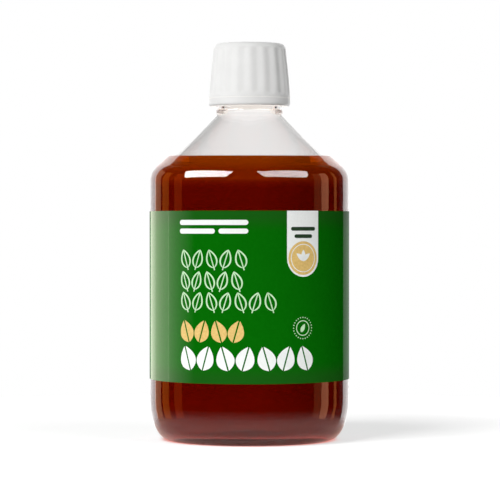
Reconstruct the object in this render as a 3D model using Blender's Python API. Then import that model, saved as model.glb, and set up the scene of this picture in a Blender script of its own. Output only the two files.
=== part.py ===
"""A half-litre glass bottle of vinegar with a ribbed screw cap and a wrap-round label.

Units are metres and +Z is up. The origin is the centre of the foot, and the middle of the
label faces -Y. Every piece is turned round the vertical axis from a profile of
(radius, height) points that the sizes below give.
"""

import math

import bmesh
import bpy
from mathutils import Matrix

# Steps round the axis
ROUND_STEPS = 64
CAP_RIDGES = 18
STEPS_PER_RIDGE = 5
LABEL_OPEN_STEPS = 2

# Glass body
BODY_RADIUS = 0.0405
WALL = 0.0022
FOOT_RADIUS = 0.0326
FOOT_RING_WIDTH = 0.0050
PUNT_DEPTH = 0.0025
FLOOR_THICKNESS = 0.0040
HEEL_HEIGHT = 0.0170
HEEL_STEPS = 6
SHOULDER_START = 0.1052
SHOULDER_CURVE = 0.0080
SHOULDER_LEAN = math.radians(47.6)
SHOULDER_STEPS = 4

# Glass neck
COLLAR_RADIUS = 0.0134
COLLAR_TOP = 0.1376
COLLAR_EDGE = 0.0004
COLLAR_FILLET = 0.0010
NECK_RADIUS = 0.0126
BORE_RADIUS = 0.0104
THROAT_FILLET = 0.0030
NECK_TOP = 0.1581
LIP_EDGE = 0.0004

# Vinegar
FILL_LEVEL = 0.1137
LIQUID_CLEARANCE = 0.0003

# Label
LABEL_BOTTOM = 0.0249
LABEL_TOP = 0.0928
LABEL_CLEARANCE = 0.0002
LABEL_THICKNESS = 0.00015

# Screw cap and its tamper-evident band
CAP_RADIUS = 0.01655
CAP_SHOULDER_RADIUS = 0.01495
CAP_TOP_FLAT_RADIUS = 0.0129
CAP_TOP = 0.1608
CAP_CORNER_HEIGHT = 0.0034
CAP_SIDE_BULGE = 1.35
CAP_SIDE_STEPS = 5
CAP_INNER_RADIUS = 0.0130
CAP_PLATE_GAP = 0.0003
RIDGE_DEPTH = 0.0004
RIDGE_FADE = 0.0010
RIDGE_BOTTOM = 0.1398
RIDGE_TOP = 0.1592
RIDGE_TURN = math.radians(-88.3)
SKIRT_BOTTOM = 0.1387
BAND_TOP = 0.1384
BAND_BOTTOM = 0.1354
BAND_INNER_RADIUS = 0.0140
BAND_EDGE_WIDTH = 0.0009
BAND_EDGE_HEIGHT = 0.0013

WELD_DISTANCE = 0.000001


def clear_scene():
    """Remove every object of the open scene."""
    for item in list(bpy.data.objects):
        bpy.data.objects.remove(item, do_unlink=True)


def finish(name, colour, roughness, transmission=0.0, ior=1.5):
    """A Principled material with one colour."""
    material = bpy.data.materials.new(name)
    material.use_nodes = True
    shader = material.node_tree.nodes["Principled BSDF"]
    shader.inputs["Base Color"].default_value = (*colour, 1.0)
    shader.inputs["Roughness"].default_value = roughness
    shader.inputs["Metallic"].default_value = 0.0
    shader.inputs["Transmission Weight"].default_value = transmission
    shader.inputs["IOR"].default_value = ior
    return material


def add_object(name, mesh, material):
    """Turn an edited mesh into a smooth-shaded object of the scene."""
    bmesh.ops.recalc_face_normals(mesh, faces=mesh.faces)
    data = bpy.data.meshes.new(name)
    mesh.to_mesh(data)
    mesh.free()
    data.materials.append(material)
    data.shade_smooth()
    data.set_sharp_from_angle(angle=math.radians(35))
    item = bpy.data.objects.new(name, data)
    bpy.context.scene.collection.objects.link(item)
    return item


def arc(centre, radii, start, end, steps):
    """Points of an upright elliptical arc: angle 0 points outward and 90 degrees up."""
    points = []
    for step in range(steps + 1):
        angle = start + (end - start) * step / steps
        points.append((centre[0] + radii[0] * math.cos(angle), centre[1] + radii[1] * math.sin(angle)))
    return points


def turned_mesh(profile, steps):
    """Turn an open or closed profile once round the vertical axis."""
    mesh = bmesh.new()
    points = [mesh.verts.new((radius, 0.0, height)) for radius, height in profile]
    edges = [mesh.edges.new(pair) for pair in zip(points, points[1:])]
    bmesh.ops.spin(
        mesh,
        geom=points + edges,
        cent=(0.0, 0.0, 0.0),
        axis=(0.0, 0.0, 1.0),
        angle=math.tau,
        steps=steps,
        use_merge=True,
    )
    bmesh.ops.remove_doubles(mesh, verts=mesh.verts, dist=WELD_DISTANCE)
    return mesh


def shoulder_curve(depth):
    """The rounding from the straight wall into the cone, at a depth below the outer face."""
    centre = (BODY_RADIUS - SHOULDER_CURVE, SHOULDER_START)
    radius = SHOULDER_CURVE - depth
    return arc(centre, (radius, radius), 0.0, SHOULDER_LEAN, SHOULDER_STEPS)


def cone_height(radius, depth):
    """Height of the shoulder cone at a radius, at a depth below the outer face."""
    start_radius, start_height = shoulder_curve(depth)[-1]
    return start_height + (start_radius - radius) / math.tan(SHOULDER_LEAN)


def cone_fillet(wall_radius, fillet, depth, steps):
    """The hollow rounding from the cone up into an upright wall."""
    tangent_radius = wall_radius + fillet * (1.0 - math.cos(SHOULDER_LEAN))
    centre_height = cone_height(tangent_radius, depth) + fillet * math.sin(SHOULDER_LEAN)
    centre = (wall_radius + fillet, centre_height)
    return arc(centre, (fillet, fillet), math.pi + SHOULDER_LEAN, math.pi, steps)


def cavity_below_cone(clearance):
    """The inside of the bottle from the middle of its floor up to the foot of the cone."""
    floor = PUNT_DEPTH + FLOOR_THICKNESS + clearance
    foot_radius = FOOT_RADIUS - WALL - clearance
    foot_height = FLOOR_THICKNESS + clearance
    wall_radius = BODY_RADIUS - WALL - clearance
    heel_radii = (wall_radius - foot_radius, HEEL_HEIGHT - FLOOR_THICKNESS)
    punt_edge = (FOOT_RADIUS - FOOT_RING_WIDTH - WALL, foot_height)
    heel = arc((foot_radius, foot_height + heel_radii[1]), heel_radii, -math.pi / 2, 0.0, HEEL_STEPS)
    return [(0.0, floor), punt_edge] + heel + shoulder_curve(WALL + clearance)


def bottle():
    """The glass shell: in over the floor, up the inside, over the lip and down the outside."""
    inside = cavity_below_cone(0.0)
    inside += cone_fillet(BORE_RADIUS, THROAT_FILLET, WALL, 3)
    lip = [
        (BORE_RADIUS, NECK_TOP - LIP_EDGE),
        (BORE_RADIUS + LIP_EDGE, NECK_TOP),
        (NECK_RADIUS - LIP_EDGE, NECK_TOP),
        (NECK_RADIUS, NECK_TOP - LIP_EDGE),
    ]
    collar = [
        (NECK_RADIUS, COLLAR_TOP + COLLAR_EDGE),
        (NECK_RADIUS + COLLAR_EDGE, COLLAR_TOP),
        (COLLAR_RADIUS - COLLAR_EDGE / 2, COLLAR_TOP - COLLAR_EDGE / 4),
        (COLLAR_RADIUS, COLLAR_TOP - COLLAR_EDGE),
    ]
    outside = collar + cone_fillet(COLLAR_RADIUS, COLLAR_FILLET, 0.0, 3)[::-1]
    outside += shoulder_curve(0.0)[::-1]
    heel_radii = (BODY_RADIUS - FOOT_RADIUS, HEEL_HEIGHT)
    outside += arc((FOOT_RADIUS, HEEL_HEIGHT), heel_radii, 0.0, -math.pi / 2, HEEL_STEPS)
    punt_edge = FOOT_RADIUS - FOOT_RING_WIDTH
    outside += [(punt_edge, 0.0), (punt_edge / 2, PUNT_DEPTH * 0.75), (0.0, PUNT_DEPTH)]
    glass = finish("glass", (0.95, 0.96, 0.95), 0.02, transmission=1.0, ior=1.5)
    add_object("bottle", turned_mesh(inside + lip + outside, ROUND_STEPS), glass)


def vinegar():
    """The drink: it fills the inside of the glass up to its level in the shoulder."""
    depth = WALL + LIQUID_CLEARANCE
    rise = FILL_LEVEL - cone_height(0.0, depth)
    surface_radius = -rise * math.tan(SHOULDER_LEAN)
    profile = cavity_below_cone(LIQUID_CLEARANCE)
    profile += [(surface_radius, FILL_LEVEL), (0.0, FILL_LEVEL)]
    drink = finish("vinegar", (0.20, 0.015, 0.002), 0.05, ior=1.34)
    add_object("vinegar", turned_mesh(profile, ROUND_STEPS), drink)


def cap_side_radius(height):
    """Radius of the cap over its ridges: it draws in towards the top on a slight bulge."""
    side_top = CAP_TOP - CAP_CORNER_HEIGHT
    share = (height - RIDGE_BOTTOM) / (side_top - RIDGE_BOTTOM)
    share = min(max(share, 0.0), 1.0)
    return CAP_RADIUS - (CAP_RADIUS - CAP_SHOULDER_RADIUS) * share ** CAP_SIDE_BULGE


def ridge_relief(angle, height):
    """How far the cap's face lies in at an angle and height: 0 on a crest or off the ridges."""
    crest = 0.5 + 0.5 * math.cos((angle - RIDGE_TURN) * CAP_RIDGES)
    fade_low = min(max((height - RIDGE_BOTTOM) / RIDGE_FADE, 0.0), 1.0)
    fade_high = min(max((RIDGE_TOP - height) / RIDGE_FADE, 0.0), 1.0)
    return RIDGE_DEPTH * (1.0 - crest) * fade_low * fade_high


def cap():
    """The screw cap: a plate and a ribbed skirt that stands clear of the neck."""
    plate_under = NECK_TOP + CAP_PLATE_GAP
    side_top = CAP_TOP - CAP_CORNER_HEIGHT
    corner_width = CAP_SHOULDER_RADIUS - CAP_TOP_FLAT_RADIUS
    corner_centre = (CAP_TOP_FLAT_RADIUS, side_top)
    corner = arc(corner_centre, (corner_width, CAP_CORNER_HEIGHT), math.pi / 2, 0.0, 5)
    side_start = RIDGE_BOTTOM + RIDGE_FADE
    side = []
    for step in range(1, CAP_SIDE_STEPS):
        height = side_top - (side_top - side_start) * step / (CAP_SIDE_STEPS - 1)
        side.append((cap_side_radius(height), height))
    foot = [
        (CAP_RADIUS, RIDGE_BOTTOM),
        (CAP_RADIUS, SKIRT_BOTTOM),
        (CAP_INNER_RADIUS, SKIRT_BOTTOM),
        (CAP_INNER_RADIUS, plate_under),
        (0.0, plate_under),
    ]
    mesh = turned_mesh([(0.0, CAP_TOP)] + corner + side + foot, CAP_RIDGES * STEPS_PER_RIDGE)
    for point in mesh.verts:
        radius = math.hypot(point.co.x, point.co.y)
        if radius > CAP_TOP_FLAT_RADIUS + corner_width / 4:
            relief = ridge_relief(math.atan2(point.co.y, point.co.x), point.co.z)
            point.co.x *= 1.0 - relief / radius
            point.co.y *= 1.0 - relief / radius
    white = finish("cap_white", (0.86, 0.86, 0.85), 0.35)
    add_object("cap", mesh, white)


def tamper_band():
    """The ring that stays on the neck when the cap is first turned."""
    edge_centre = (CAP_RADIUS - BAND_EDGE_WIDTH, BAND_BOTTOM + BAND_EDGE_HEIGHT)
    edge = arc(edge_centre, (BAND_EDGE_WIDTH, BAND_EDGE_HEIGHT), 0.0, -math.pi / 2, 3)
    section = [(CAP_RADIUS, BAND_TOP)] + edge + [(BAND_INNER_RADIUS, BAND_BOTTOM), (BAND_INNER_RADIUS, BAND_TOP)]
    white = finish("band_white", (0.86, 0.86, 0.85), 0.35)
    add_object("tamper_band", turned_mesh(section + section[:1], ROUND_STEPS), white)


def label():
    """The label: a thin band round the straight wall, open in a narrow strip at the back."""
    inner = BODY_RADIUS + LABEL_CLEARANCE
    outer = inner + LABEL_THICKNESS
    step_angle = math.tau / ROUND_STEPS
    start = math.pi / 2 + step_angle * LABEL_OPEN_STEPS / 2
    mesh = bmesh.new()
    corners = [(inner, LABEL_BOTTOM), (outer, LABEL_BOTTOM), (outer, LABEL_TOP), (inner, LABEL_TOP)]
    points = [mesh.verts.new((radius, 0.0, height)) for radius, height in corners]
    edges = [mesh.edges.new(pair) for pair in zip(points, points[1:] + points[:1])]
    bmesh.ops.rotate(mesh, verts=points, cent=(0.0, 0.0, 0.0), matrix=Matrix.Rotation(start, 3, "Z"))
    swept = bmesh.ops.spin(
        mesh,
        geom=points + edges,
        cent=(0.0, 0.0, 0.0),
        axis=(0.0, 0.0, 1.0),
        angle=step_angle * (ROUND_STEPS - LABEL_OPEN_STEPS),
        steps=ROUND_STEPS - LABEL_OPEN_STEPS,
    )
    bmesh.ops.contextual_create(mesh, geom=edges)
    far_edges = [piece for piece in swept["geom_last"] if isinstance(piece, bmesh.types.BMEdge)]
    bmesh.ops.contextual_create(mesh, geom=far_edges)
    green = finish("label_green", (0.008, 0.125, 0.006), 0.35)
    add_object("label", mesh, green)


clear_scene()
bottle()
vinegar()
label()
tamper_band()
cap()
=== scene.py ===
import math

import bmesh
import bpy
import numpy as np
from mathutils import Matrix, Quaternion, Vector


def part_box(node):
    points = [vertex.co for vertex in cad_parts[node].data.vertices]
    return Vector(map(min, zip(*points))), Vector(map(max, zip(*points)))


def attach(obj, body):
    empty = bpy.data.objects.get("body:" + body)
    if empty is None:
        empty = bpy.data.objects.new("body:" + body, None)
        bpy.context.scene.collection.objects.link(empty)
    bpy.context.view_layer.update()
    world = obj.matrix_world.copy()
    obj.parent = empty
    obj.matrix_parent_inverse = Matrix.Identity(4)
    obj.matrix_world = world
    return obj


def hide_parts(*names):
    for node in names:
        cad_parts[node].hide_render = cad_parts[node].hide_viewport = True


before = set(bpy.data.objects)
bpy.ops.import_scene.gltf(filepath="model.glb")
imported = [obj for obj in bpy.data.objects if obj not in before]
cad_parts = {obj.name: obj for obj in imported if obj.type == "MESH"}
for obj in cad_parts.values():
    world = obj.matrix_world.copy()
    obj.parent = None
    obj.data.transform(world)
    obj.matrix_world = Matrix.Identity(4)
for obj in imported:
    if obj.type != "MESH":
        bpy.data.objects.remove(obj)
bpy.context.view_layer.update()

MM = 0.001

# Photograph frame and the view it was taken from
IMAGE_SIZE = 500
SENSOR_WIDTH = 36.0
FOCAL_PIXELS = 2464.0
CAMERA_DISTANCE = 1002.8 * MM
CAMERA_HEIGHT = 86.4 * MM
HORIZON_ROW = 227.0
AXIS_COLUMN = 249.4

# Studio, with levels of light where 1 is the white of the picture
AMBIENT = 0.1                                       # falls on matt faces
BACKDROP_EDGE = math.cos(math.radians(42.0))        # how far round it reaches in mirrored rays
BACKDROP_BLUR = 0.01                                # half the width of that edge
BACKDROP_REFLECTED = 1.6
BACKDROP_BENT = 0.92                                # through glass, after a mirroring inside it
BENT_BLUR = (0.14, 0.10)                            # added to each side of the edge there
BACKDROP_DIM = 0.66                                 # straight through glass, at the far left
DIM_SPAN = (-0.3, -0.05)                            # from the far left to full brightness
FLOOR_RADIUS = 0.27
FLOOR_GLOW = 0.58                                   # beside the bottle
FLOOR_GLOW_SPAN = (0.14, 0.26)                      # radii over which it rises to white
FLOOR_REFLECTED = 0.061                             # radius up to which glass mirrors the floor
FLOOR_REFLECTED_BLUR = 0.02
# Painted reflection: warm tint of the floor where the glass mirrors it
FLOOR_PAINTED_REFLECTION = (0.95, 0.58, 0.46)
# Painted glow: reddish light given off by the floor under the bottle's foot
FLOOR_UNDER_PAINTED_GLOW = (1.35, 0.52, 0.46)
# Painted glow on the cap's and band's inner and lower faces, for light coming through the plastic
CAP_PAINTED_GLOW = 0.7
LIGHT_AIM = Vector((0.0, 0.0, 0.09))
LIGHT_BOUNCES = 48
WHITE = (1.0, 1.0, 1.0)

# Coloured strips that the glass's sides mirror: name, azimuth, width, radiance and colour
STRIP_DISTANCE = 0.8
STRIP_HEIGHT = 0.7
STRIP_LIGHTS = (
    ("strip_right", 95.0, 0.17, 2.4, (1.0, 0.43, 0.22)),
    ("strip_front_right", 83.0, 0.15, 0.5, (1.0, 0.4, 0.15)),
    ("strip_back_right", 114.5, 0.08, 1.1, (1.0, 0.36, 0.1)),
    ("strip_back_left", -129.5, 0.25, 1.0, (1.0, 0.5, 0.25)),
    ("strip_left", -110.5, 0.19, 1.2, (1.0, 0.27, 0.03)),
    ("strip_front_left", -88.0, 0.17, 1.0, (1.0, 0.15, 0.02)),
)

# The part of a noise texture's values that is spread over a tone's two ends
NOISE_RANGE = (0.3, 0.7)

# Sizes read from the CAD frame
BODY_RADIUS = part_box("bottle")[1][0]
NECK_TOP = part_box("bottle")[1][2]
FILL_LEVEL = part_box("vinegar")[1][2]
LABEL_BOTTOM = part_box("label")[0][2]
LABEL_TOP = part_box("label")[1][2]
CAP_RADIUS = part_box("cap")[1][0]
CAP_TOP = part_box("cap")[1][2]
SKIRT_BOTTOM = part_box("cap")[0][2]
BAND_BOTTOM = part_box("tamper_band")[0][2]

# Glass shape
GLASS_STEPS = 384
WALL = 2.2 * MM
FOOT_RADIUS = 32.6 * MM
FOOT_RING_WIDTH = 5.0 * MM
PUNT_DEPTH = 2.5 * MM
STIPPLED_RADIUS = FOOT_RADIUS + 1.5 * MM
FLOOR_THICKNESS = 4.0 * MM
HEEL_HEIGHT = 17.0 * MM
SHOULDER_START = 105.2 * MM
SHOULDER_CURVE = 8.0 * MM
SHOULDER_LEAN = math.radians(47.6)
COLLAR_RADIUS = 13.4 * MM
COLLAR_TOP = 137.6 * MM
COLLAR_EDGE = 0.4 * MM
COLLAR_FILLET = 1.0 * MM
NECK_RADIUS = 12.6 * MM
BORE_RADIUS = 10.4 * MM
THROAT_FILLET = 3.0 * MM
LIP_EDGE = 0.4 * MM

# Drink
WALL_OVERLAP = 0.15 * MM
MENISCUS_RADIUS = 0.2 * MM
MENISCUS_FILM = 0.05 * MM
SURFACE_LEVEL = FILL_LEVEL - 0.1 * MM
# Colours of the drink by height: its dark red-brown below, then a painted glow that lightens it towards
# the top, standing in for light that reaches the drink under the shoulder
VINEGAR_TONES_AND_PAINTED_GLOW = (
    (102.5 * MM, (0.176, 0.003, 0.001)),
    (105.2 * MM, (0.27, 0.010, 0.002)),
    (107.0 * MM, (0.47, 0.080, 0.012)),
    (109.0 * MM, (0.62, 0.28, 0.05)),
    (111.0 * MM, (0.88, 0.85, 0.4)),
    (114.5 * MM, (1.0, 1.0, 1.0)),
)
VINEGAR_VOLUME = (0.94, 0.935, 0.0)
VINEGAR_DENSITY = 100.0

# Label and its print: a row is its height, count and right end, a leaf's shape its width and lean
LABEL_STEPS = 372
LABEL_INNER = BODY_RADIUS - 0.02 * MM
LABEL_OUTER = BODY_RADIUS + 0.09 * MM
LABEL_OPEN_ANGLE = math.radians(11.25)
# Painted reflection: the green turns greyer between these distances in from the label's top and bottom
LABEL_PAINTED_REFLECTION_EDGE = (9.0 * MM, 1.0 * MM)
PRINT_INNER = LABEL_OUTER - 0.01 * MM
PRINT_OUTER = LABEL_OUTER + 0.02 * MM
PRINT_LEFT = -30.1 * MM
THINNEST = 0.01 * MM
INK_STEP = 0.02 * MM
BAR_ROWS = (88.2 * MM, 84.8 * MM)
BAR_HEIGHT = 2.0 * MM
BAR_BREAK = (0.55, 0.6)
LEAF_ROWS = ((73.9 * MM, 5, -0.4 * MM), (65.4 * MM, 5, -2.2 * MM), (57.2 * MM, 7, 11.2 * MM))
LEAF_HEIGHT = 7.3 * MM
LEAF_SHAPE = (0.78, 0.30)
LEAF_STROKE = 0.65 * MM
GOLD_ROW = (45.4 * MM, 4, -1.6 * MM)
GOLD_HEIGHT = 8.5 * MM
BOLD_ROW = (34.8 * MM, 7, 27.1 * MM)
BOLD_HEIGHT = 9.4 * MM
BOLD_SHAPE = (0.88, 0.28)
RIB_GAP = 0.6 * MM
TAB_SIDES = (15.1 * MM, 29.7 * MM)
TAB_END = 66.8 * MM
TAB_BARS = ((85.7 * MM, 1.7 * MM), (82.8 * MM, 3.2 * MM))
TAB_BAR_HEIGHT = 1.5 * MM
DISC_CENTRE = (22.3 * MM, 74.2 * MM)
DISC_RADIUS = 6.6 * MM
DISC_RING = (5.28 * MM, 0.3 * MM)
SPRIG_LEAF = (4.6 * MM, 1.9 * MM)
SPRIG_LEANS = (-0.9, 0.0, 0.9)
SPRIG_SPREAD = 1.6 * MM
SPRIG_DROP = 0.6 * MM
SEAL_CENTRE = (22.1 * MM, 46.7 * MM)
SEAL_RING = (2.7 * MM, 0.35 * MM)
SEAL_LEAF = (3.6 * MM, 1.7 * MM)
SEAL_LEAN = 0.5
SEAL_DOTS = 24
SEAL_DOTS_RADIUS = 4.2 * MM
SEAL_DOT_SIZE = 0.25 * MM

# Cap
CAP_RIDGES = 18
CAP_STEPS = CAP_RIDGES * 24
CAP_SHOULDER_RADIUS = 14.95 * MM
CAP_TOP_FLAT_RADIUS = 12.9 * MM
CAP_CORNER_HEIGHT = 3.4 * MM
CAP_SIDE_BULGE = 1.35
CAP_INNER_RADIUS = 13.0 * MM
CAP_PLATE_GAP = 0.3 * MM
RIDGE_DEPTH = 0.4 * MM
RIDGE_FADE = 1.0 * MM
RIDGE_BOTTOM = 139.8 * MM
RIDGE_TOP = 159.2 * MM
RIDGE_TURN = math.radians(-88.3)
BAND_INNER_RADIUS = 14.0 * MM
BREAK_GAP = 0.04 * MM
BREAK_EDGE = 0.04 * MM
BAND_EDGE_WIDTH = 0.9 * MM
BAND_EDGE_HEIGHT = 1.3 * MM


def arc(centre, radii, start, end, steps):
    """Points of an upright elliptical arc: angle 0 points outward and 90 degrees up."""
    turn = np.linspace(start, end, steps + 1)
    return [(centre[0] + radii[0] * math.cos(t), centre[1] + radii[1] * math.sin(t)) for t in turn]


def run(start, end, steps):
    """Points between two profile points, both ends left out."""
    shares = np.linspace(0.0, 1.0, steps + 1)[1:-1]
    return [(start[0] + (end[0] - start[0]) * s, start[1] + (end[1] - start[1]) * s) for s in shares]


def ring_mesh(profile, steps):
    """Vertices and faces of an open profile turned once round the upright axis."""
    turn = np.arange(steps) * math.tau / steps
    points, rings, faces = [], [], []
    for radius, height in profile:
        first = len(points)
        if radius < 1e-7:
            points.append((0.0, 0.0, height))
            rings.append([first] * steps)
        else:
            points.extend(zip(radius * np.cos(turn), radius * np.sin(turn), [height] * steps))
            rings.append(list(range(first, first + steps)))
    for lower, upper in zip(rings, rings[1:]):
        for step in range(steps):
            after = (step + 1) % steps
            corners = [lower[step], lower[after], upper[after], upper[step]]
            faces.append(list(dict.fromkeys(corners)))
    return points, faces


def add_piece(name, points, faces, material, node=None):
    """Make a closed, smooth-shaded piece that rides on the part's one body."""
    data = bpy.data.meshes.new(name)
    data.from_pydata([tuple(map(float, p)) for p in points], [], faces)
    mesh = bmesh.new()
    mesh.from_mesh(data)
    bmesh.ops.recalc_face_normals(mesh, faces=mesh.faces)
    mesh.to_mesh(data)
    mesh.free()
    data.materials.append(material)
    data.shade_smooth()
    data.set_sharp_from_angle(angle=math.radians(40))
    piece = bpy.data.objects.new(name, data)
    bpy.context.scene.collection.objects.link(piece)
    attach(piece, "root")
    if node:
        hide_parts(node)
    return piece


def new_material(name):
    """A material with its Principled shader, for the caller to wire."""
    material = bpy.data.materials.new(name)
    material.use_nodes = True
    return material, material.node_tree, material.node_tree.nodes["Principled BSDF"]


def noise(tree, scale, detail=2.0, stretch=(1.0, 1.0, 1.0)):
    """A noise texture on object coordinates, in metres."""
    place = tree.nodes.new("ShaderNodeTexCoord")
    mapping = tree.nodes.new("ShaderNodeMapping")
    mapping.inputs["Scale"].default_value = stretch
    texture = tree.nodes.new("ShaderNodeTexNoise")
    texture.inputs["Scale"].default_value = scale
    texture.inputs["Detail"].default_value = detail
    tree.links.new(place.outputs["Object"], mapping.inputs["Vector"])
    tree.links.new(mapping.outputs["Vector"], texture.inputs["Vector"])
    return texture.outputs["Fac"]


def grain(tree, scale, low=0.0, high=1.0, detail=2.0):
    """A number that wanders between two values over the surface."""
    return spread(tree, noise(tree, scale, detail), *NOISE_RANGE, low, high)


def height_of(tree):
    """The upright object coordinate, in metres."""
    place = tree.nodes.new("ShaderNodeTexCoord")
    split = tree.nodes.new("ShaderNodeSeparateXYZ")
    tree.links.new(place.outputs["Object"], split.inputs["Vector"])
    return split.outputs["Z"]


def spread(tree, value, low, high, to_low=0.0, to_high=1.0, smooth=False):
    """Map a value from one range to another, held at the ends."""
    node = tree.nodes.new("ShaderNodeMapRange")
    node.interpolation_type = "SMOOTHSTEP" if smooth else "LINEAR"
    node.inputs["From Min"].default_value = low
    node.inputs["From Max"].default_value = high
    node.inputs["To Min"].default_value = to_low
    node.inputs["To Max"].default_value = to_high
    tree.links.new(value, node.inputs["Value"])
    return node.outputs["Result"]


def choose(tree, share, low, high):
    """A number between two, each a value or a socket, by a share from 0 to 1."""
    node = tree.nodes.new("ShaderNodeMix")
    node.data_type = "FLOAT"
    tree.links.new(share, node.inputs["Factor"])
    for name, value in (("A", low), ("B", high)):
        if isinstance(value, float):
            node.inputs[name].default_value = value
        else:
            tree.links.new(value, node.inputs[name])
    return node.outputs["Result"]


def bounced(tree, path):
    """1 for a ray that a surface has mirrored on its way, otherwise 0."""
    node = tree.nodes.new("ShaderNodeMath")
    node.operation = "GREATER_THAN"
    node.inputs[1].default_value = 0.5
    tree.links.new(path.outputs["Glossy Depth"], node.inputs[0])
    return node.outputs["Value"]


def blend_colours(tree, share, low, high):
    """A colour between two, each a tuple or a socket, by a share from 0 to 1."""
    node = tree.nodes.new("ShaderNodeMix")
    node.data_type = "RGBA"
    tree.links.new(share, node.inputs["Factor"])
    for name, value in (("A", low), ("B", high)):
        if isinstance(value, tuple):
            node.inputs[name].default_value = (*value, 1.0)
        else:
            tree.links.new(value, node.inputs[name])
    return node.outputs["Result"]


def bump(tree, shader, height, distance, strength=1.0):
    """Relief on a shader's normal, with a depth in metres."""
    node = tree.nodes.new("ShaderNodeBump")
    node.inputs["Distance"].default_value = distance
    node.inputs["Strength"].default_value = strength
    tree.links.new(height, node.inputs["Height"])
    tree.links.new(node.outputs["Normal"], shader.inputs["Normal"])


def glass_material(name, roughness):
    """Clear bottle glass with the slow ripple that moulding leaves."""
    material, tree, shader = new_material(name)
    shader.inputs["Transmission Weight"].default_value = 1.0
    shader.inputs["IOR"].default_value = 1.5
    ripple = noise(tree, 60.0, 1.0)
    tone = spread(tree, ripple, *NOISE_RANGE)
    colour = blend_colours(tree, tone, (0.985, 0.978, 0.972), (0.992, 0.988, 0.984))
    tree.links.new(colour, shader.inputs["Base Color"])
    tree.links.new(spread(tree, ripple, *NOISE_RANGE, *roughness), shader.inputs["Roughness"])
    bump(tree, shader, noise(tree, 45.0, 1.0, (1.0, 1.0, 0.4)), 0.05 * MM)
    return material


def vinegar_material():
    """Dark red-brown drink: a painted glow lightens its colour from the full width below up to the top
    under the shoulder.
    """
    material, tree, shader = new_material("vinegar_drink")
    shader.inputs["Transmission Weight"].default_value = 1.0
    shader.inputs["IOR"].default_value = 1.34
    # Painted glow: the drink's colour lightens with height towards its top
    ramp = tree.nodes.new("ShaderNodeValToRGB")
    low, high = VINEGAR_TONES_AND_PAINTED_GLOW[0][0], VINEGAR_TONES_AND_PAINTED_GLOW[-1][0]
    tree.links.new(spread(tree, height_of(tree), low, high), ramp.inputs["Fac"])
    tones = ramp.color_ramp.elements
    while len(tones) < len(VINEGAR_TONES_AND_PAINTED_GLOW):
        tones.new(0.5)
    for tone, (height, colour) in zip(tones, VINEGAR_TONES_AND_PAINTED_GLOW):
        tone.position = (height - low) / (high - low)
        tone.color = (*colour, 1.0)
    tree.links.new(ramp.outputs["Color"], shader.inputs["Base Color"])
    tree.links.new(grain(tree, 80.0, 0.0, 0.01), shader.inputs["Roughness"])
    depth = tree.nodes.new("ShaderNodeVolumeAbsorption")
    depth.inputs["Color"].default_value = (*VINEGAR_VOLUME, 1.0)
    depth.inputs["Density"].default_value = VINEGAR_DENSITY
    output = tree.nodes["Material Output"]
    tree.links.new(depth.outputs["Volume"], output.inputs["Volume"])
    return material


def satin_coat(tree, shader):
    """The thin coat over the label's paper and ink."""
    tree.links.new(grain(tree, 400.0, 0.30, 0.38), shader.inputs["Roughness"])
    shader.inputs["Specular IOR Level"].default_value = 0.0
    shader.inputs["Coat Weight"].default_value = 0.2
    shader.inputs["Coat Roughness"].default_value = 0.05


def label_material():
    """Green print on coated paper, with a painted reflection that makes it a little greyer and duller
    towards the label's top and bottom.
    """
    material, tree, shader = new_material("label_green")
    mottle = grain(tree, 900.0, detail=3.0)
    middle = blend_colours(tree, mottle, (0.0016, 0.124, 0.0012), (0.0024, 0.136, 0.0020))
    height = height_of(tree)
    inner, outer = LABEL_PAINTED_REFLECTION_EDGE
    above = spread(tree, height, LABEL_TOP - inner, LABEL_TOP - outer, smooth=True)
    below = spread(tree, height, LABEL_BOTTOM + inner, LABEL_BOTTOM + outer, smooth=True)
    edge = tree.nodes.new("ShaderNodeMath")
    edge.operation = "MAXIMUM"
    tree.links.new(above, edge.inputs[0])
    tree.links.new(below, edge.inputs[1])
    # Painted reflection: greyer green near the label's top and bottom
    colour = blend_colours(tree, edge.outputs["Value"], middle, (0.0095, 0.102, 0.0070))
    tree.links.new(colour, shader.inputs["Base Color"])
    satin_coat(tree, shader)
    bump(tree, shader, noise(tree, 700.0, 2.0), 0.01 * MM)
    return material


def label_back_material():
    """The label's inner face: white paper with a painted glow for the light behind it that shines through.
    """
    material, tree, shader = new_material("label_paper_back_painted_glow")
    fibre = grain(tree, 900.0, detail=3.0)
    colour = blend_colours(tree, fibre, (0.80, 0.80, 0.78), (0.86, 0.86, 0.84))
    tree.links.new(colour, shader.inputs["Base Color"])
    # Painted glow: the paper gives off its own colour as light
    tree.links.new(colour, shader.inputs["Emission Color"])
    shader.inputs["Emission Strength"].default_value = 1.0
    shader.inputs["Roughness"].default_value = 0.9
    shader.inputs["Specular IOR Level"].default_value = 0.0
    return material


def ink_material(name, low, high):
    """Opaque ink on the label under the same thin coat, with a fine grain."""
    material, tree, shader = new_material(name)
    colour = blend_colours(tree, grain(tree, 1200.0), low, high)
    tree.links.new(colour, shader.inputs["Base Color"])
    satin_coat(tree, shader)
    return material


def cap_material():
    """White moulded plastic with a faint orange-peel surface."""
    material, tree, shader = new_material("cap_plastic")
    tone = grain(tree, 150.0, detail=3.0)
    colour = blend_colours(tree, tone, (0.85, 0.85, 0.84), (0.88, 0.88, 0.87))
    tree.links.new(colour, shader.inputs["Base Color"])
    tree.links.new(grain(tree, 700.0, 0.32, 0.42), shader.inputs["Roughness"])
    bump(tree, shader, noise(tree, 1500.0, 2.0), 0.006 * MM)
    return material


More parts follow.
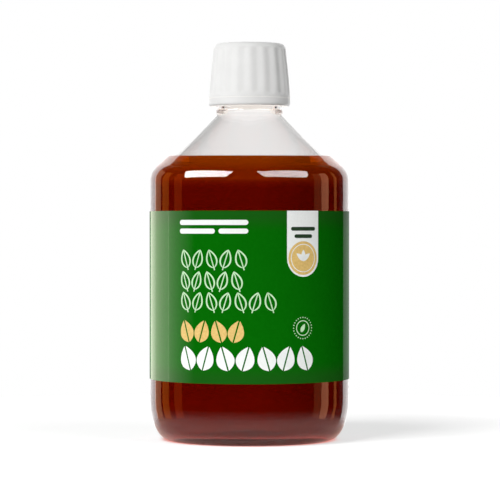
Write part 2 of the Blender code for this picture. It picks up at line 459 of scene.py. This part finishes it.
def cap_inside_material():
    """The plastic seen from inside the cap, with a painted glow for the light that comes through it."""
    material, tree, shader = new_material("cap_plastic_inside_painted_glow")
    tone = grain(tree, 150.0, detail=3.0)
    colour = blend_colours(tree, tone, (0.84, 0.81, 0.77), (0.87, 0.84, 0.80))
    tree.links.new(colour, shader.inputs["Base Color"])
    # Painted glow: the plastic gives off its own colour as light
    tree.links.new(colour, shader.inputs["Emission Color"])
    shader.inputs["Emission Strength"].default_value = CAP_PAINTED_GLOW
    shader.inputs["Roughness"].default_value = 0.5
    return material


def paint_inside(piece, radius, material):
    """Give a material to the faces of a piece that lie within a radius and look inward or down."""
    piece.data.materials.append(material)
    for face in piece.data.polygons:
        inward = face.center.x * face.normal.x + face.center.y * face.normal.y < -1e-9
        within = math.hypot(face.center.x, face.center.y) < radius
        if within and (inward or face.normal.z < -0.5):
            face.material_index = 1


def shoulder_curve(depth, steps=16):
    """The rounding from the straight wall into the cone, at a depth below the outer face."""
    centre = (BODY_RADIUS - SHOULDER_CURVE, SHOULDER_START)
    radius = SHOULDER_CURVE - depth
    return arc(centre, (radius, radius), 0.0, SHOULDER_LEAN, steps)


def cone_height(radius, depth):
    """Height of the shoulder cone at a radius, at a depth below the outer face."""
    start_radius, start_height = shoulder_curve(depth)[-1]
    return start_height + (start_radius - radius) / math.tan(SHOULDER_LEAN)


def cone_radius(height, depth):
    """Radius of the shoulder cone at a height, at a depth below the outer face."""
    start_radius, start_height = shoulder_curve(depth)[-1]
    return start_radius - (height - start_height) * math.tan(SHOULDER_LEAN)


def cone_fillet(wall_radius, fillet, depth, steps=8):
    """The hollow rounding from the cone up into an upright wall."""
    tangent_radius = wall_radius + fillet * (1.0 - math.cos(SHOULDER_LEAN))
    centre_height = cone_height(tangent_radius, depth) + fillet * math.sin(SHOULDER_LEAN)
    centre = (wall_radius + fillet, centre_height)
    return arc(centre, (fillet, fillet), math.pi + SHOULDER_LEAN, math.pi, steps)


def cavity_below_cone(clearance):
    """The inside of the glass from the middle of its floor up to the foot of the cone."""
    foot_radius = FOOT_RADIUS - WALL - clearance
    foot_height = FLOOR_THICKNESS + clearance
    wall_radius = BODY_RADIUS - WALL - clearance
    heel_radii = (wall_radius - foot_radius, HEEL_HEIGHT - FLOOR_THICKNESS)
    punt_edge = FOOT_RADIUS - FOOT_RING_WIDTH - WALL
    floor = []
    for share in np.linspace(0.0, 1.0, 14):
        rise = PUNT_DEPTH * 0.5 * (1.0 + math.cos(math.pi * share))
        floor.append((punt_edge * share, foot_height + rise))
    heel = arc((foot_radius, foot_height + heel_radii[1]), heel_radii, -math.pi / 2, 0.0, 20)
    shoulder = shoulder_curve(WALL + clearance)
    return floor + heel + run(heel[-1], shoulder[0], 20) + shoulder


def add_glass():
    """The bottle: one closed shell of glass."""
    inside = cavity_below_cone(0.0)
    throat = cone_fillet(BORE_RADIUS, THROAT_FILLET, WALL, 10)
    inside += run(inside[-1], throat[0], 20) + throat
    lip = [
        (BORE_RADIUS, NECK_TOP - LIP_EDGE),
        (BORE_RADIUS + LIP_EDGE, NECK_TOP),
        (NECK_RADIUS - LIP_EDGE, NECK_TOP),
        (NECK_RADIUS, NECK_TOP - LIP_EDGE),
    ]
    collar = [(NECK_RADIUS, COLLAR_TOP + COLLAR_EDGE)]
    edge_centre = (COLLAR_RADIUS - COLLAR_EDGE, COLLAR_TOP - COLLAR_EDGE)
    collar += arc(edge_centre, (COLLAR_EDGE, COLLAR_EDGE), math.pi / 2, 0.0, 5)
    fillet = cone_fillet(COLLAR_RADIUS, COLLAR_FILLET, 0.0)[::-1]
    shoulder = shoulder_curve(0.0)[::-1]
    heel = arc((FOOT_RADIUS, HEEL_HEIGHT), (BODY_RADIUS - FOOT_RADIUS, HEEL_HEIGHT), 0.0, -math.pi / 2, 28)
    outside = collar + fillet + run(fillet[-1], shoulder[0], 24) + shoulder
    outside += run(shoulder[-1], heel[0], 20) + heel
    punt_edge = FOOT_RADIUS - FOOT_RING_WIDTH
    for share in np.linspace(1.0, 0.0, 12):
        outside.append((punt_edge * share, PUNT_DEPTH * 0.5 * (1.0 + math.cos(math.pi * share))))
    profile = inside + lip + outside
    points, faces = ring_mesh(profile, GLASS_STEPS)
    clear = glass_material("bottle_glass", (0.0, 0.015))
    glass = add_piece("glass_bottle", points, faces, clear, "bottle")
    glass.data.materials.append(glass_material("bottle_glass_stippled", (0.45, 0.6)))
    for face in glass.data.polygons:
        within = math.hypot(face.center.x, face.center.y) < STIPPLED_RADIUS
        if within and face.center.z < PUNT_DEPTH and face.normal.z < -0.9:
            face.material_index = 1
    return glass


def add_vinegar():
    """The drink: it reaches just into the glass and curls up where it meets the wall."""
    profile = cavity_below_cone(-WALL_OVERLAP)
    depth = WALL - WALL_OVERLAP
    edge_height = SURFACE_LEVEL + MENISCUS_RADIUS
    edge = (cone_radius(edge_height, depth), edge_height)
    profile += run(profile[-1], edge, 8) + [edge]
    hollow_radius = cone_radius(edge_height, WALL) - MENISCUS_FILM
    centre = (hollow_radius - MENISCUS_RADIUS, edge_height)
    profile += arc(centre, (MENISCUS_RADIUS, MENISCUS_RADIUS), 0.0, -math.pi / 2, 14)
    profile += run(profile[-1], (0.0, SURFACE_LEVEL), 10) + [(0.0, SURFACE_LEVEL)]
    points, faces = ring_mesh(profile, GLASS_STEPS)
    return add_piece("vinegar_drink", points, faces, vinegar_material(), "vinegar")


def on_cylinder(radius, along, height):
    """A point on the label's cylinder: along is the arc from the front middle, rightward."""
    angle = along / LABEL_OUTER
    return (radius * math.sin(angle), -radius * math.cos(angle), height)


def sheet_solid(grid, inner, outer):
    """Points and faces of a closed thin solid over a grid of (along, height) rows."""
    rows, columns = len(grid), len(grid[0])
    points = [on_cylinder(outer, *spot) for row in grid for spot in row]
    points += [on_cylinder(inner, *spot) for row in grid for spot in row]
    back = rows * columns
    faces = []
    for r in range(rows - 1):
        for c in range(columns - 1):
            a = r * columns + c
            quad = [a, a + 1, a + columns + 1, a + columns]
            faces.append(quad)
            faces.append([back + i for i in reversed(quad)])
    rim = [c for c in range(columns)]
    rim += [r * columns + columns - 1 for r in range(1, rows)]
    rim += [(rows - 1) * columns + c for c in range(columns - 2, -1, -1)]
    rim += [r * columns for r in range(rows - 2, 0, -1)]
    for a, b in zip(rim, rim[1:] + rim[:1]):
        faces.append([b, a, back + a, back + b])
    return points, faces


def add_label():
    """The wrap-round label, open in a narrow strip at the back."""
    half = (math.pi - LABEL_OPEN_ANGLE / 2) * LABEL_OUTER
    along = np.linspace(-half, half, LABEL_STEPS)
    heights = np.linspace(LABEL_BOTTOM, LABEL_TOP, 9)
    grid = [[(a, h) for a in along] for h in heights]
    points, faces = sheet_solid(grid, LABEL_INNER, LABEL_OUTER)
    piece = add_piece("label_wrap", points, faces, label_material(), "label")
    # The label's inner faces get the painted glow
    paint_inside(piece, (LABEL_INNER + LABEL_OUTER) / 2, label_back_material())
    return piece


def band_grid(middle, half_widths):
    """Rows of spots across a shape that is given by points down its middle and half widths."""
    grid = []
    for (along, height), (wide, tall) in zip(middle, half_widths):
        grid.append([(along + wide * share, height + tall * share) for share in np.linspace(-1.0, 1.0, 5)])
    return grid


def leaf_grids(along, height, length, width, lean, stroke=None, rib_gap=None):
    """A pointed leaf about a middle: solid, its outline and midrib, or two halves with a gap."""
    steps = np.linspace(-1.0, 1.0, 15)
    axis = (math.sin(lean), math.cos(lean))
    across = (math.cos(lean), -math.sin(lean))
    middle = [(along + axis[0] * t * length / 2, height + axis[1] * t * length / 2) for t in steps]
    half = [width / 2 * (1.0 - t * t) ** 0.75 * (1.0 - 0.25 * t) + THINNEST for t in steps]
    if stroke is None and rib_gap is None:
        return [band_grid(middle, [(across[0] * h, across[1] * h) for h in half])]
    grids = []
    for side in (-1.0, 1.0):
        grid = []
        for (x, z), h in zip(middle, half):
            inner = max(h - stroke, 0.0) if stroke else rib_gap / 2
            edges = (side * max(h, inner + THINNEST), side * inner)
            low, high = min(edges), max(edges)
            row = [low, (low + high) / 2, high]
            grid.append([(x + across[0] * w, z + across[1] * w) for w in row])
        grids.append(grid)
    if rib_gap:
        return grids
    rib = [(x - axis[0] * length * 0.1, z - axis[1] * length * 0.1) for x, z in middle]
    grids.append(band_grid(rib, [(across[0] * stroke * 0.35, across[1] * stroke * 0.35)] * len(rib)))
    return grids


def leaf_row(row, size, width_share, lean, stroke=None, rib_gap=None):
    """A row of equal leaves from the print's left side to a given end."""
    height, count, end = row
    pitch = (end - PRINT_LEFT) / count
    grids = []
    for number in range(count):
        along = PRINT_LEFT + pitch * (number + 0.5)
        tilt = lean if number % 2 else -lean
        length = size / math.cos(lean)
        grids += leaf_grids(along, height, length, pitch * width_share, tilt, stroke, rib_gap)
    return grids


def bar_grid(start, end, height, thickness):
    """A level bar with rounded ends."""
    radius = thickness / 2
    steps = max(int((end - start) / MM), 1)
    turn = np.linspace(0.0, math.pi / 2, 5)
    rounding = [(radius * math.cos(t), max(radius * math.sin(t), THINNEST)) for t in turn]
    left = [(start + radius - x, half) for x, half in rounding]
    right = [(end - radius + x, half) for x, half in rounding[::-1]]
    inner = [(x, radius) for x in np.linspace(start + radius, end - radius, steps + 1)[1:-1]]
    spots = left + inner + right
    return band_grid([(x, height) for x, _ in spots], [(0.0, h) for _, h in spots])


def spot_around(centre, radius, turn):
    """The spot at a distance and an angle from a centre."""
    return (centre[0] + radius * math.cos(turn), centre[1] + radius * math.sin(turn))


def disc_grid(centre, radius):
    """A round spot."""
    turn = np.linspace(0.0, math.pi, 25)
    middle = [(centre[0] - radius * math.cos(t), centre[1]) for t in turn]
    return band_grid(middle, [(0.0, max(radius * math.sin(t), THINNEST)) for t in turn])


def ring_grid(centre, radius, stroke):
    """A thin round ring, open by a hair where its ends meet."""
    turn = np.linspace(0.001, math.tau - 0.001, 49)
    return [[spot_around(centre, r, t) for r in (radius, radius + stroke)] for t in turn]


def tab_grid():
    """The tab that hangs from the label's top, with a round lower end."""
    left, right = TAB_SIDES
    middle, radius = (left + right) / 2, (right - left) / 2
    shares = np.linspace(-1.0, 1.0, 17)
    heights = np.linspace(LABEL_TOP, TAB_END + radius, 12)
    grid = [[(middle + radius * s, h) for s in shares] for h in heights]
    for t in np.linspace(0.0, math.pi / 2, 9)[1:]:
        half = max(radius * math.cos(t), THINNEST)
        grid.append([(middle + half * s, TAB_END + radius - radius * math.sin(t)) for s in shares])
    return grid


def add_print_layer(name, grids, material, level=0):
    """One ink: every shape a closed, curved sheet over the label. A higher level lies on a lower."""
    points, faces = [], []
    rise = level * INK_STEP
    for grid in grids:
        more_points, more_faces = sheet_solid(grid, PRINT_INNER + rise, PRINT_OUTER + rise)
        faces += [[len(points) + i for i in face] for face in more_faces]
        points += more_points
    return add_piece(name, points, faces, material)


def add_print():
    """A generic print of leaves, bars, a tab and a seal."""
    white = ink_material("ink_white", (0.87, 0.89, 0.87), (0.91, 0.93, 0.91))
    pale = ink_material("ink_pale", (0.50, 0.76, 0.46), (0.58, 0.84, 0.54))
    gold = ink_material("ink_gold", (0.70, 0.47, 0.15), (0.82, 0.57, 0.21))
    dark = ink_material("ink_dark", (0.020, 0.045, 0.020), (0.030, 0.060, 0.030))
    start, end = PRINT_LEFT, LEAF_ROWS[0][2]
    bars = [bar_grid(start, end, BAR_ROWS[0], BAR_HEIGHT)]
    bars += [bar_grid(start, start + (end - start) * BAR_BREAK[0], BAR_ROWS[1], BAR_HEIGHT)]
    bars += [bar_grid(start + (end - start) * BAR_BREAK[1], end, BAR_ROWS[1], BAR_HEIGHT)]
    outlines = []
    for row in LEAF_ROWS:
        outlines += leaf_row(row, LEAF_HEIGHT, *LEAF_SHAPE, stroke=LEAF_STROKE)
    bold = leaf_row(BOLD_ROW, BOLD_HEIGHT, *BOLD_SHAPE, rib_gap=RIB_GAP)
    golden = leaf_row(GOLD_ROW, GOLD_HEIGHT, *BOLD_SHAPE, rib_gap=RIB_GAP)
    left, right = TAB_SIDES
    tab_bars = [bar_grid(left + inset, right - inset, row, TAB_BAR_HEIGHT) for row, inset in TAB_BARS]
    disc = [disc_grid(DISC_CENTRE, DISC_RADIUS)]
    sprig = [ring_grid(DISC_CENTRE, *DISC_RING)]
    for lean in SPRIG_LEANS:
        along = DISC_CENTRE[0] + SPRIG_SPREAD * math.sin(lean)
        height = DISC_CENTRE[1] + SPRIG_SPREAD * math.cos(lean) - SPRIG_DROP
        sprig += leaf_grids(along, height, *SPRIG_LEAF, lean)
    seal = [ring_grid(SEAL_CENTRE, *SEAL_RING)]
    seal += leaf_grids(*SEAL_CENTRE, *SEAL_LEAF, SEAL_LEAN)
    for number in range(SEAL_DOTS):
        turn = math.tau * number / SEAL_DOTS
        seal.append(disc_grid(spot_around(SEAL_CENTRE, SEAL_DOTS_RADIUS, turn), SEAL_DOT_SIZE))
    return [
        add_print_layer("print_tab", [tab_grid()], white),
        add_print_layer("print_white", bold + bars, white),
        add_print_layer("print_pale", outlines + seal, pale),
        add_print_layer("print_gold", golden, gold),
        add_print_layer("print_tab_disc", disc, gold, 1),
        add_print_layer("print_tab_bars", tab_bars, dark, 1),
        add_print_layer("print_sprig", sprig, white, 2),
    ]


def cap_side_radius(height):
    """Radius of the cap over its ridges: it draws in towards the top on a slight bulge."""
    side_top = CAP_TOP - CAP_CORNER_HEIGHT
    share = (height - RIDGE_BOTTOM) / (side_top - RIDGE_BOTTOM)
    share = min(max(share, 0.0), 1.0)
    return CAP_RADIUS - (CAP_RADIUS - CAP_SHOULDER_RADIUS) * share ** CAP_SIDE_BULGE


def ridge_relief(angle, height):
    """How far the cap's face lies in at an angle and height: 0 on a crest or off the ridges."""
    crest = 0.5 + 0.5 * math.cos((angle - RIDGE_TURN) * CAP_RIDGES)
    fade_low = min(max((height - RIDGE_BOTTOM) / RIDGE_FADE, 0.0), 1.0)
    fade_high = min(max((RIDGE_TOP - height) / RIDGE_FADE, 0.0), 1.0)
    return RIDGE_DEPTH * (1.0 - crest) * fade_low * fade_high


def add_cap():
    """The screw cap with its ribbed skirt."""
    side_top = CAP_TOP - CAP_CORNER_HEIGHT
    plate_under = NECK_TOP + CAP_PLATE_GAP
    corner_width = CAP_SHOULDER_RADIUS - CAP_TOP_FLAT_RADIUS
    corner = arc((CAP_TOP_FLAT_RADIUS, side_top), (corner_width, CAP_CORNER_HEIGHT), math.pi / 2, 0.0, 18)
    side = [(cap_side_radius(h), h) for h in np.linspace(side_top, RIDGE_BOTTOM, 30)[1:]]
    skirt = run(side[-1], (CAP_RADIUS, SKIRT_BOTTOM + BREAK_EDGE), 3)
    skirt += [(CAP_RADIUS, SKIRT_BOTTOM + BREAK_EDGE), (CAP_RADIUS - BREAK_EDGE, SKIRT_BOTTOM)]
    inside = [(CAP_INNER_RADIUS, SKIRT_BOTTOM), (CAP_INNER_RADIUS, plate_under), (0.0, plate_under)]
    plate = [(0.0, CAP_TOP)] + run((0.0, CAP_TOP), corner[0], 6)
    points, faces = ring_mesh(plate + corner + side + skirt + inside, CAP_STEPS)
    shaped = []
    for x, y, z in points:
        radius = math.hypot(x, y)
        if radius > CAP_TOP_FLAT_RADIUS + corner_width / 4:
            scale = 1.0 - ridge_relief(math.atan2(y, x), z) / radius
            x, y = x * scale, y * scale
        shaped.append((x, y, z))
    piece = add_piece("cap_shell", shaped, faces, cap_material(), "cap")
    # The cap's inward and downward faces get the painted glow
    paint_inside(piece, CAP_RADIUS - 0.1 * MM, cap_inside_material())
    return piece


def add_band():
    """The tamper-evident ring under the cap."""
    edge_centre = (CAP_RADIUS - BAND_EDGE_WIDTH, BAND_BOTTOM + BAND_EDGE_HEIGHT)
    edge = arc(edge_centre, (BAND_EDGE_WIDTH, BAND_EDGE_HEIGHT), 0.0, -math.pi / 2, 10)
    top = SKIRT_BOTTOM - BREAK_GAP
    section = [(CAP_RADIUS - BREAK_EDGE, top), (CAP_RADIUS, top - BREAK_EDGE)] + edge
    section += [(BAND_INNER_RADIUS, BAND_BOTTOM), (BAND_INNER_RADIUS, top)]
    points, faces = ring_mesh(section, GLASS_STEPS)
    last = (len(section) - 1) * GLASS_STEPS
    for step in range(GLASS_STEPS):
        after = (step + 1) % GLASS_STEPS
        faces.append([last + step, last + after, after, step])
    piece = add_piece("tamper_ring", points, faces, cap_material(), "tamper_band")
    # The band's inward and downward faces get the painted glow
    paint_inside(piece, CAP_RADIUS - BAND_EDGE_WIDTH + 0.1 * MM, cap_inside_material())
    return piece


def add_camera():
    """The view of the photograph: level with the label's top, a metre away."""
    data = bpy.data.cameras.new("camera")
    data.sensor_width = SENSOR_WIDTH
    data.lens = FOCAL_PIXELS / IMAGE_SIZE * SENSOR_WIDTH
    data.clip_start = 0.05
    data.clip_end = 50.0
    camera = bpy.data.objects.new("camera", data)
    pitch = math.atan((HORIZON_ROW - IMAGE_SIZE / 2) / FOCAL_PIXELS)
    side = (IMAGE_SIZE / 2 - AXIS_COLUMN) * CAMERA_DISTANCE / FOCAL_PIXELS
    camera.location = (side, -CAMERA_DISTANCE, CAMERA_HEIGHT)
    camera.rotation_euler = (math.pi / 2 + pitch, 0.0, 0.0)
    bpy.context.scene.collection.objects.link(camera)
    bpy.context.scene.camera = camera


def add_softbox(name, azimuth, elevation, distance, size, radiance, pieces,
                colour=WHITE, hide=(), graded=None, roll=0.0):
    """An area light placed by its direction from the bottle, for some pieces only.

    Azimuth 0 is the camera's side and rightward is positive. The rays in hide don't see the light.
    A graded light goes from one share of its radiance at one side to another at the other.
    Roll turns the light in its own plane.
    """
    data = bpy.data.lights.new(name, "AREA")
    data.shape = "RECTANGLE"
    data.size, data.size_y = size
    data.energy = radiance * size[0] * size[1] * math.pi
    data.color = colour
    if graded:
        data.use_nodes = True
        tree = data.node_tree
        place = tree.nodes.new("ShaderNodeNewGeometry")
        split = tree.nodes.new("ShaderNodeSeparateXYZ")
        tree.links.new(place.outputs["Parametric"], split.inputs["Vector"])
        grade = spread(tree, split.outputs["X"], 0.0, 1.0, *graded)
        tree.links.new(grade, tree.nodes["Emission"].inputs["Strength"])
    lamp = bpy.data.objects.new(name, data)
    turn, lift = math.radians(azimuth), math.radians(elevation)
    flat = math.cos(lift)
    direction = Vector((math.sin(turn) * flat, -math.cos(turn) * flat, math.sin(lift)))
    lamp.location = LIGHT_AIM + direction * distance
    facing = direction.to_track_quat("Z", "Y") @ Quaternion((0.0, 0.0, 1.0), math.radians(roll))
    lamp.rotation_euler = facing.to_euler()
    lamp.visible_camera = False
    for ray in hide:
        setattr(lamp, "visible_" + ray, False)
    receivers = bpy.data.collections.new(name + "_receivers")
    for piece in pieces:
        receivers.objects.link(piece)
    lamp.light_linking.receiver_collection = receivers
    bpy.context.scene.collection.objects.link(lamp)


def add_world():
    """A white studio: white to the eye and through glass, dim on matt faces, bright in reflections."""
    world = bpy.data.worlds.new("studio")
    bpy.context.scene.world = world
    world.use_nodes = True
    tree = world.node_tree
    background = tree.nodes["Background"]
    background.inputs["Color"].default_value = (1.0, 1.0, 1.0, 1.0)
    place = tree.nodes.new("ShaderNodeTexCoord")
    split = tree.nodes.new("ShaderNodeSeparateXYZ")
    tree.links.new(place.outputs["Generated"], split.inputs["Vector"])
    edge = (BACKDROP_EDGE - BACKDROP_BLUR, BACKDROP_EDGE + BACKDROP_BLUR)
    mirrored = spread(tree, split.outputs["Y"], *edge, 0.0, BACKDROP_REFLECTED)
    soft_edge = (edge[0] - BENT_BLUR[0], edge[1] + BENT_BLUR[1])
    bent = spread(tree, split.outputs["Y"], *soft_edge, 0.0, BACKDROP_BENT, smooth=True)
    straight = spread(tree, split.outputs["X"], *DIM_SPAN, BACKDROP_DIM, 1.0)
    path = tree.nodes.new("ShaderNodeLightPath")
    through = choose(tree, bounced(tree, path), straight, bent)
    level = choose(tree, path.outputs["Is Transmission Ray"], mirrored, through)
    level = choose(tree, path.outputs["Is Diffuse Ray"], level, AMBIENT)
    level = choose(tree, path.outputs["Is Camera Ray"], level, 1.0)
    tree.links.new(level, background.inputs["Strength"])


def add_floor():
    """A pale round floor that brightens into the white backdrop away from the bottle, with a painted red
    glow under the bottle's foot and a painted warm tint where glass mirrors it.
    """
    mesh = bmesh.new()
    bmesh.ops.create_circle(mesh, cap_ends=True, segments=96, radius=FLOOR_RADIUS)
    data = bpy.data.meshes.new("floor")
    mesh.to_mesh(data)
    mesh.free()
    floor = bpy.data.objects.new("floor", data)
    material, tree, shader = new_material("floor_pale")
    place = tree.nodes.new("ShaderNodeTexCoord")
    length = tree.nodes.new("ShaderNodeVectorMath")
    length.operation = "LENGTH"
    tree.links.new(place.outputs["Object"], length.inputs[0])
    glow = spread(tree, length.outputs["Value"], *FLOOR_GLOW_SPAN, FLOOR_GLOW, 1.0, smooth=True)
    near, far = FLOOR_REFLECTED - FLOOR_REFLECTED_BLUR, FLOOR_REFLECTED + FLOOR_REFLECTED_BLUR
    kept = spread(tree, length.outputs["Value"], near, far, 1.0, 0.0, smooth=True)
    path = tree.nodes.new("ShaderNodeLightPath")
    tree.links.new(choose(tree, bounced(tree, path), 1.0, kept), shader.inputs["Alpha"])
    shader.inputs["Base Color"].default_value = (0.5, 0.5, 0.5, 1.0)
    # Painted red glow under the bottle's foot
    under = spread(tree, length.outputs["Value"], FOOT_RADIUS, BODY_RADIUS - 3.0 * MM, smooth=True)
    # Painted reflection: the floor takes a warm tint only in mirrored rays
    beside = blend_colours(tree, bounced(tree, path), WHITE, FLOOR_PAINTED_REFLECTION)
    tree.links.new(blend_colours(tree, under, FLOOR_UNDER_PAINTED_GLOW, beside), shader.inputs["Emission Color"])
    shader.inputs["Roughness"].default_value = 0.9
    shader.inputs["Specular IOR Level"].default_value = 0.0
    tree.links.new(glow, shader.inputs["Emission Strength"])
    data.materials.append(material)
    bpy.context.scene.collection.objects.link(floor)
    return floor


def add_lights(floor, glass, printed, cap_pieces):
    """Soft lights, each for the pieces that it is meant for."""
    seen_only = ("diffuse", "transmission", "volume_scatter")
    unseen = ("glossy",)
    add_softbox("key_label", -21.0, 33.0, 1.2, (0.5, 0.4), 17.5, printed, hide=unseen)
    add_softbox("key_cap", -24.0, 33.0, 1.2, (0.5, 0.4), 18.0, cap_pieces, hide=unseen)
    add_softbox("fill_cap", 105.0, 10.0, 0.8, (0.4, 0.4), 2.3, cap_pieces, hide=unseen)
    add_softbox("key_left", -112.0, 15.0, 0.6, (0.85, 0.6), 1.1, printed + cap_pieces, hide=unseen)
    glare = (1.0, 1.0, 0.8)
    add_softbox("glare_back", -131.0, 0.0, 1.0, (1.0, 0.8), 8.5, printed, glare, seen_only)
    add_softbox("glare_side", -85.0, 0.0, 1.0, (0.73, 0.8), 7.3, printed, glare, seen_only, (1.0, 0.0))
    add_softbox("floor_left", -40.0, 52.0, 2.0, (0.75, 0.75), 19.0, [floor])
    add_softbox("floor_right", 50.0, 50.0, 1.2, (0.5, 0.5), 4.7, [floor])
    window = (1.0, 0.60)
    add_softbox("window_left", -54.0, 28.5, 1.0, window, 22.0, [glass], hide=seen_only, roll=7.0)
    add_softbox("window_right", 44.0, 28.5, 1.0, window, 12.0, [glass], hide=seen_only, roll=-5.0)
    for name, azimuth, width, radiance, colour in STRIP_LIGHTS:
        size = (width, STRIP_HEIGHT)
        add_softbox(name, azimuth, 0.0, STRIP_DISTANCE, size, radiance, [glass], colour, seen_only)


add_camera()
add_world()
floor = add_floor()
glass = add_glass()
add_vinegar()
label = add_label()
printed = [label] + add_print()
cap_pieces = [add_cap(), add_band()]
add_lights(floor, glass, printed, cap_pieces)

scene = bpy.context.scene
scene.view_settings.view_transform = "Standard"
scene.cycles.use_denoising = True
scene.cycles.max_bounces = LIGHT_BOUNCES
scene.cycles.glossy_bounces = LIGHT_BOUNCES
scene.cycles.transmission_bounces = LIGHT_BOUNCES
